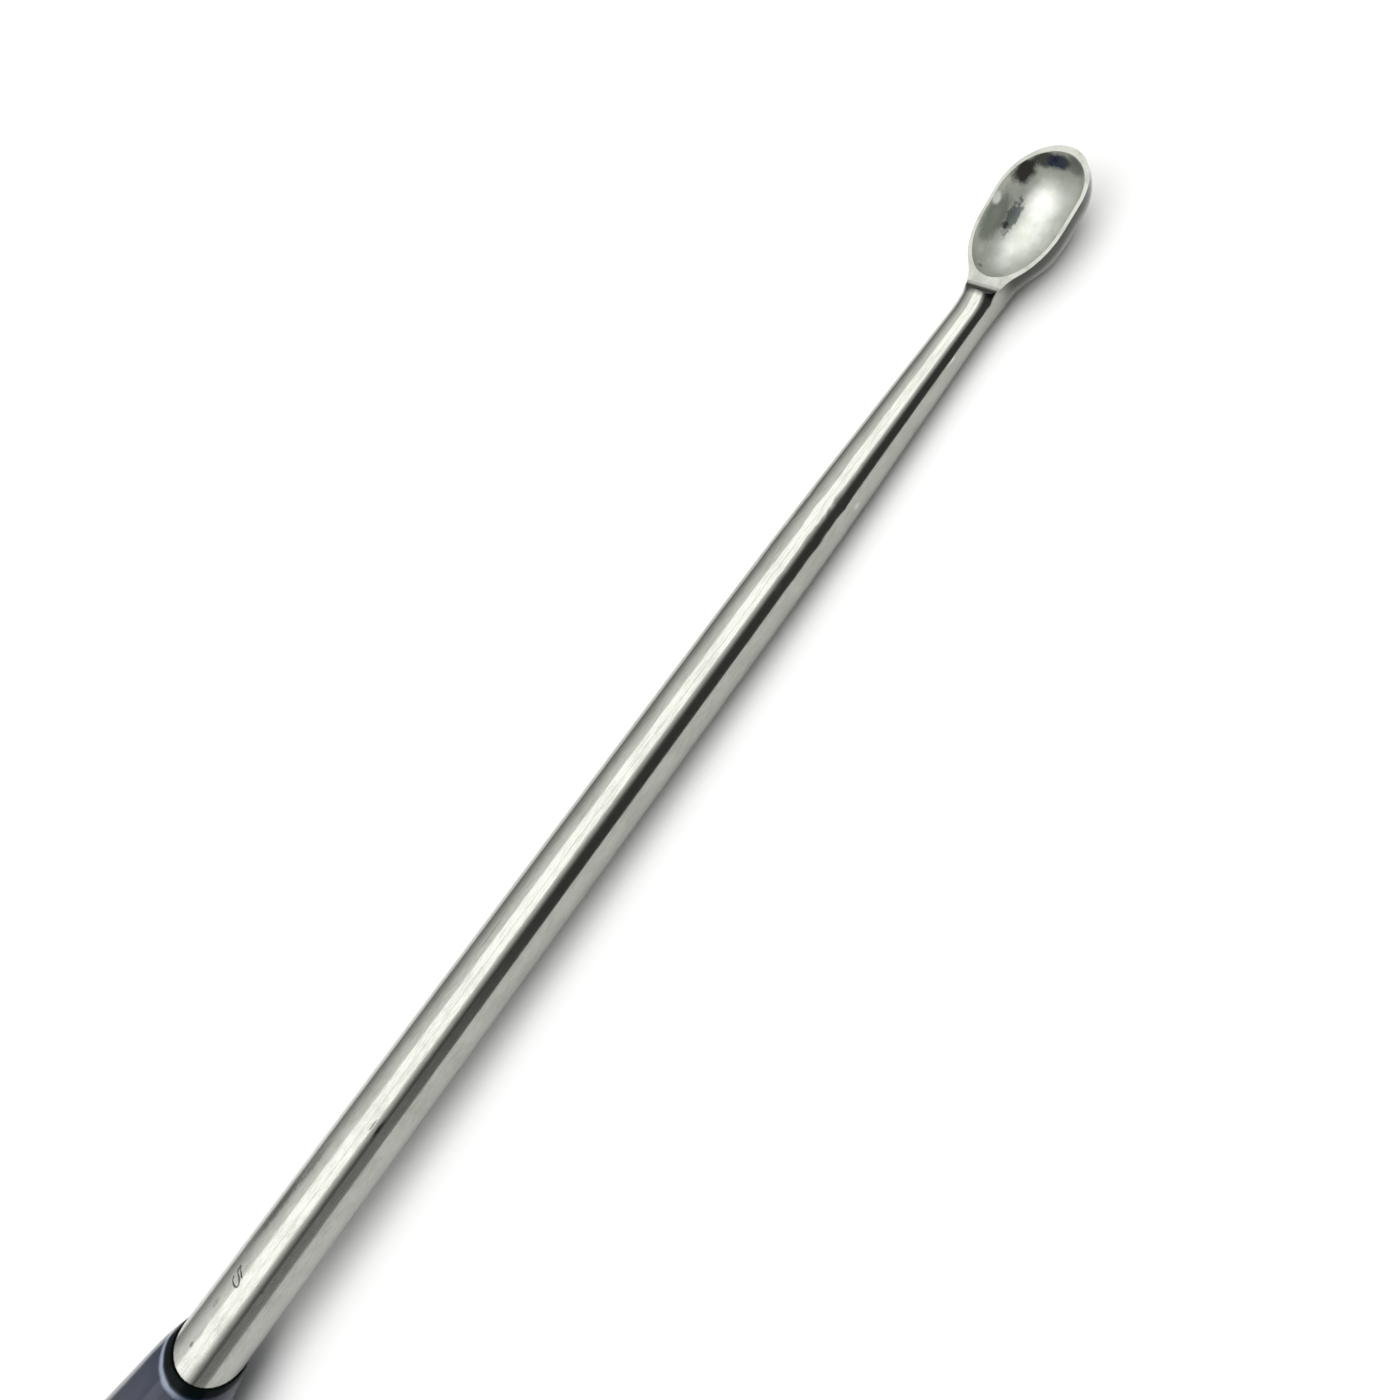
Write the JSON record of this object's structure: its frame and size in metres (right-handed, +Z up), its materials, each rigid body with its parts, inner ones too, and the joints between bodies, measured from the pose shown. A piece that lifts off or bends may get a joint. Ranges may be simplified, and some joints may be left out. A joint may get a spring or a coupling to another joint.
{
  "type": "bone curette",
  "caption": "Micro curette: a tapered steel shaft with a small oval spoon cup at its tip, set in a round moulded handle.",
  "frame": {"origin": "middle of the instrument's outline, on the table that it lies on", "axes": "+X along the instrument from the handle's butt to the cup's tip, +Z up out of the cup's opening"},
  "size_m": [0.2262, 0.0126, 0.0157],
  "materials": {
    "steel": "finely polished along its length",
    "grip": "smooth deep blue, glossy"
  },
  "bodies": {
    "root": {"blade": "steel", "handle": "grip"}
  },
  "joints": []
}
